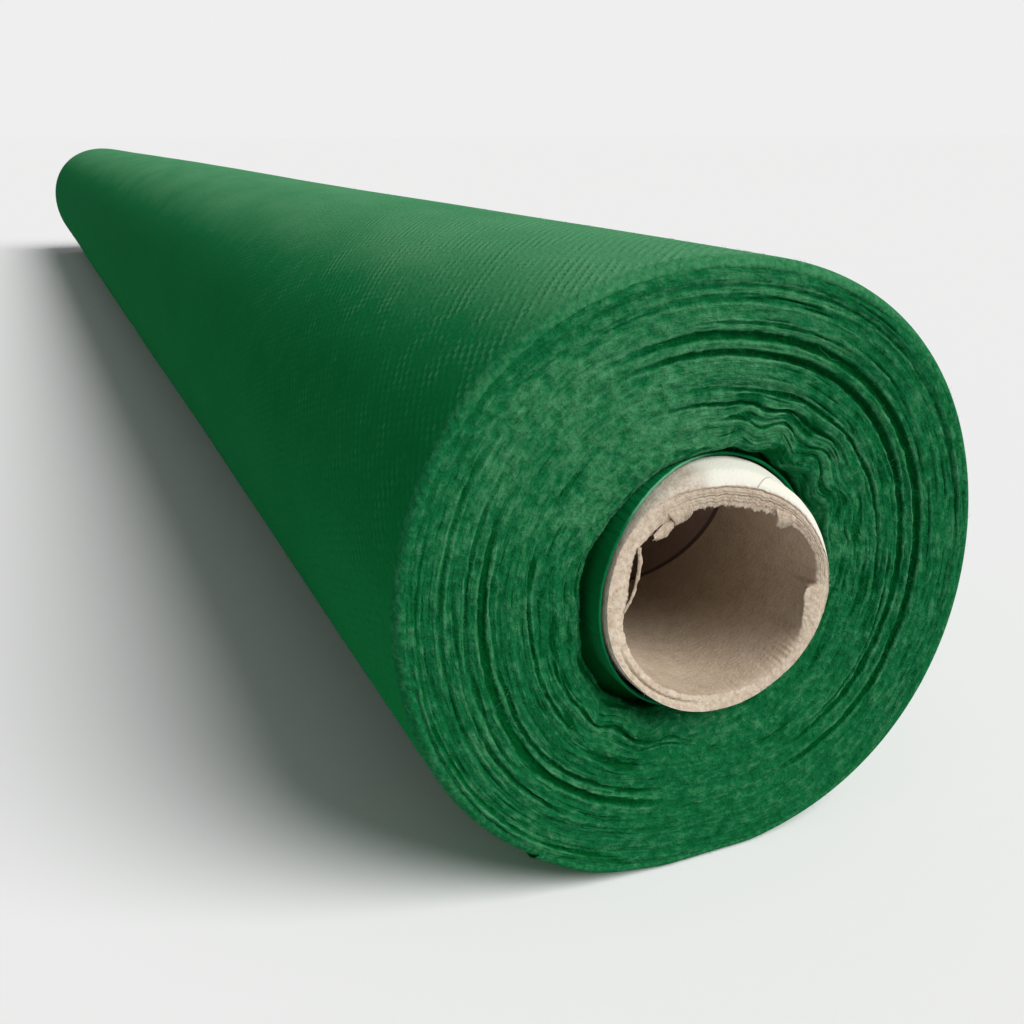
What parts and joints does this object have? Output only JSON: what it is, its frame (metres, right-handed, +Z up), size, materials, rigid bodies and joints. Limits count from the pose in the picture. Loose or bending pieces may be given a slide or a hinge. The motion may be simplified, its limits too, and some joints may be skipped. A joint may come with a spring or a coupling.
{
  "type": "non-woven fabric roll",
  "caption": "Long roll of soft green non-woven cloth wound on a paperboard core tube, lying on its side, the tube open from end to end.",
  "frame": {"origin": "bottom centre: on the floor under the middle of the roll's axis", "axes": "+Z up; the roll and its core lie along Y, and the near end, with the torn core rim, faces -Y"},
  "size_m": [0.1525, 1.604, 0.1472],
  "materials": {
    "nonwoven_cloth": "matt, felt-like, point-bonded",
    "paperboard": "matt brown-grey spiral-wound board"
  },
  "bodies": {
    "root": {"cloth_roll": "nonwoven_cloth", "core_tube": "paperboard"}
  },
  "joints": []
}
